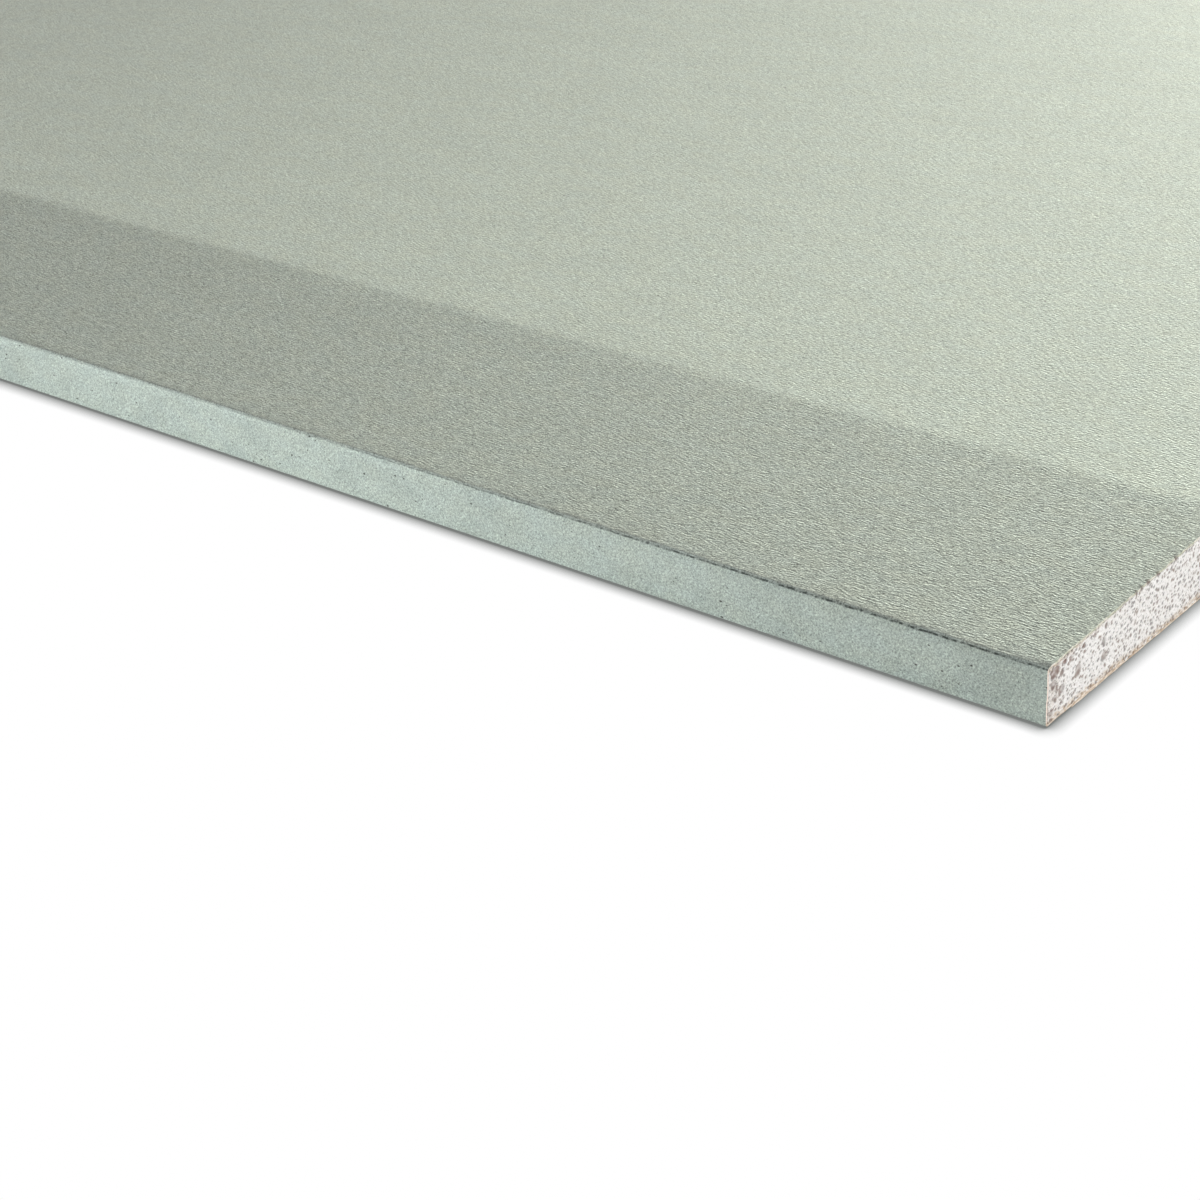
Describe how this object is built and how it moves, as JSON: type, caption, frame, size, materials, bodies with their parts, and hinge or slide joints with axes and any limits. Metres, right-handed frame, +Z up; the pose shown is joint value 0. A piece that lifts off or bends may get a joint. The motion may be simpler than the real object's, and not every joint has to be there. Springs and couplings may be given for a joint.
{
  "type": "drywall sheet",
  "caption": "Flat paper-faced gypsum board with recessed long edges, a wrapped face paper and square-cut ends, fixed to framing as a wall or ceiling lining.",
  "frame": {"origin": "under the middle of the sheet, on the underside of the back paper that it lies on", "axes": "+X along the sheet between its cut ends, +Y across it between its wrapped long edges, +Z up out of the face"},
  "size_m": [2.4, 1.2, 0.013],
  "materials": {
    "gypsum": "matte white, full of fine air pores where it is cut",
    "face_paper": "matte pale grey-green, fine fibres along the sheet",
    "back_paper": "matte grey-brown recycled paper"
  },
  "bodies": {
    "root": {"gypsum_core": "gypsum", "face_paper": "face_paper", "back_paper": "back_paper"}
  },
  "joints": []
}
